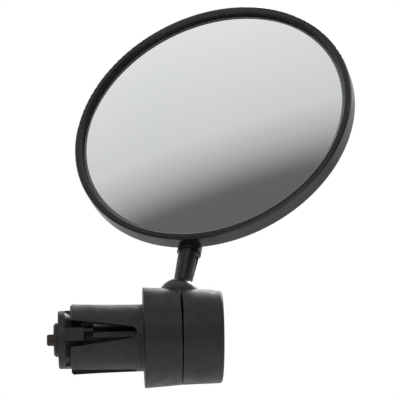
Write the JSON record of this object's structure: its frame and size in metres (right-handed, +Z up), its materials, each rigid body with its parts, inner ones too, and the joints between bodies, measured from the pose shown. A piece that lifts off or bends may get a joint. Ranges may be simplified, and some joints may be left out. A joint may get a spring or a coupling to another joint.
{
  "type": "bar-end bicycle mirror",
  "caption": "Round convex rear-view mirror on a short ball-jointed arm; an expanding plug clamps it in the open end of a handlebar.",
  "frame": {"origin": "on the plug's axis, at the shoulder of the drum that butts on the bar's end", "axes": "+X outboard along the handlebar, +Z up on the ball's side of the drum, -Y towards the rider"},
  "size_m": [0.0845, 0.0491, 0.1136],
  "materials": {
    "bracket_plastic": "moulded black plastic, fine matte texture",
    "arm_plastic": "moulded black plastic, fine matte texture",
    "shell_plastic": "moulded black plastic, satin",
    "mirror": "silvered convex glass",
    "foam": "sticky foam, black",
    "screw_steel": "oiled steel, brownish",
    "plated_steel": "zinc plated"
  },
  "bodies": {
    "bracket": {"inner_half": "bracket_plastic", "outer_cap": "bracket_plastic", "screw_washer": "plated_steel"},
    "ball": {"ball": "arm_plastic"},
    "arm": {"arm": "arm_plastic"},
    "head": {"back_shell": "shell_plastic", "mirror_glass": "mirror", "foam_pad": "foam"},
    "screw": {"clamp_screw": "screw_steel"},
    "wedge": {"wedge": "bracket_plastic", "wedge_nut": "plated_steel"},
    "finger_back_upper": {"finger_back_upper": "bracket_plastic"},
    "finger_front_upper": {"finger_front_upper": "bracket_plastic"},
    "finger_front_lower": {"finger_front_lower": "bracket_plastic"},
    "finger_back_lower": {"finger_back_lower": "bracket_plastic"}
  },
  "joints": [
    {"name": "ball_tilt", "type": "hinge", "parent": "bracket", "child": "ball", "pos_m": [0.0095, 0, 0.0098], "axis": [1, 0, 0], "range_deg": [-8, 44]},
    {"name": "arm_lean", "type": "hinge", "parent": "ball", "child": "arm", "pos_m": [0.0095, 0, 0.0098], "axis": [0, 0.9516, -0.3074], "range_deg": [-33, 7]},
    {"name": "head_turn", "type": "hinge", "parent": "arm", "child": "head", "pos_m": [0.0095, 0, 0.0098], "axis": [0.225, 0.2995, 0.9272], "continuous": true},
    {"name": "screw_turn", "type": "hinge", "parent": "bracket", "child": "screw", "pos_m": [0, 0, 0], "axis": [-1, 0, 0], "range_deg": [0, 1440]},
    {"name": "wedge_draw", "type": "slide", "parent": "bracket", "child": "wedge", "axis": [1, 0, 0], "range_m": [0, 0.002]},
    {"name": "finger_back_upper_flex", "type": "hinge", "parent": "bracket", "child": "finger_back_upper", "pos_m": [-0.0019, 0.00615, 0.00615], "axis": [0, 0.7071, -0.7071], "range_deg": [0, 2.9]},
    {"name": "finger_front_upper_flex", "type": "hinge", "parent": "bracket", "child": "finger_front_upper", "pos_m": [-0.0019, -0.00615, 0.00615], "axis": [0, 0.7071, 0.7071], "range_deg": [0, 2.9]},
    {"name": "finger_front_lower_flex", "type": "hinge", "parent": "bracket", "child": "finger_front_lower", "pos_m": [-0.0019, -0.00615, -0.00615], "axis": [0, -0.7071, 0.7071], "range_deg": [0, 2.9]},
    {"name": "finger_back_lower_flex", "type": "hinge", "parent": "bracket", "child": "finger_back_lower", "pos_m": [-0.0019, 0.00615, -0.00615], "axis": [0, -0.7071, -0.7071], "range_deg": [0, 2.9]}
  ],
  "couplings": [
    {"joint": "screw_turn", "follows": "wedge_draw", "rad_per_m": 12566},
    {"joint": "finger_back_upper_flex", "follows": "wedge_draw", "rad_per_m": 25.307},
    {"joint": "finger_front_upper_flex", "follows": "wedge_draw", "rad_per_m": 25.307},
    {"joint": "finger_front_lower_flex", "follows": "wedge_draw", "rad_per_m": 25.307},
    {"joint": "finger_back_lower_flex", "follows": "wedge_draw", "rad_per_m": 25.307}
  ]
}
